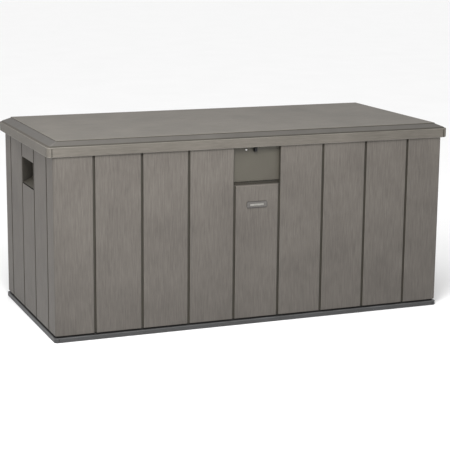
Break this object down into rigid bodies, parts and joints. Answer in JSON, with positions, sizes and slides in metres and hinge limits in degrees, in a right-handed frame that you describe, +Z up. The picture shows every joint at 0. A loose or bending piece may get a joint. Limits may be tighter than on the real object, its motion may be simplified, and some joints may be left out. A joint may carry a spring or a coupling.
{
  "type": "deck storage box",
  "caption": "Large outdoor storage chest with plank-pattern moulded walls, end handle pockets, a pull recess with a padlock lug, and a hinged raised-panel lid.",
  "frame": {"origin": "bottom centre of the closed box, on the ground", "axes": "+X along the box, to the right seen from the front; +Y to the back, where the hinge is; +Z up"},
  "size_m": [1.53, 0.7, 0.698],
  "materials": {
    "walls": "grained moulded polyethylene, warm grey-brown",
    "lid": "grained moulded polyethylene, warm grey-brown",
    "base": "moulded polyethylene, neutral grey",
    "channel_steel": "powder-coated pressed steel",
    "zinc": "zinc-plated steel",
    "bright_steel": "polished stainless steel",
    "black_steel": "black powder-coated steel",
    "spring_steel": "oiled spring wire",
    "rubber": "matt black rubber",
    "badge": "moulded badge, blank, with a pale raised rim"
  },
  "bodies": {
    "cabinet": {"floor_panel": "base", "front_panel": "walls", "back_panel": "walls", "left_panel": "walls", "right_panel": "walls", "hinge_rod": "zinc", "left_lid_spring": "spring_steel", "right_lid_spring": "spring_steel", "spring_wall_clips": "zinc", "lock_eye": "black_steel", "lock_bolt": "bright_steel", "lock_nut": "zinc", "blank_badge": "badge", "lid_bumpers": "rubber", "panel_lap_screws": "zinc", "floor_screws": "zinc", "wall_clip_screws": "zinc"},
    "lid": {"lid_panel": "lid", "lid_skirt": "lid", "front_lid_channel": "channel_steel", "rear_lid_channel": "channel_steel", "hinge_rod_caps": "lid", "spring_lid_clips": "zinc", "lock_tab": "black_steel", "lid_clip_screws": "zinc", "lock_tab_screws": "zinc", "front_channel_screws": "zinc", "rear_channel_screws": "zinc"}
  },
  "joints": [
    {"name": "lid_hinge", "type": "hinge", "parent": "cabinet", "child": "lid", "pos_m": [0, 0.337, 0.66], "axis": [-1, 0, 0], "range_deg": [0, 100], "stiffness_Nm_per_rad": 1.7, "springref_deg": 148.97, "deforming": ["left_lid_spring", "right_lid_spring"]}
  ]
}
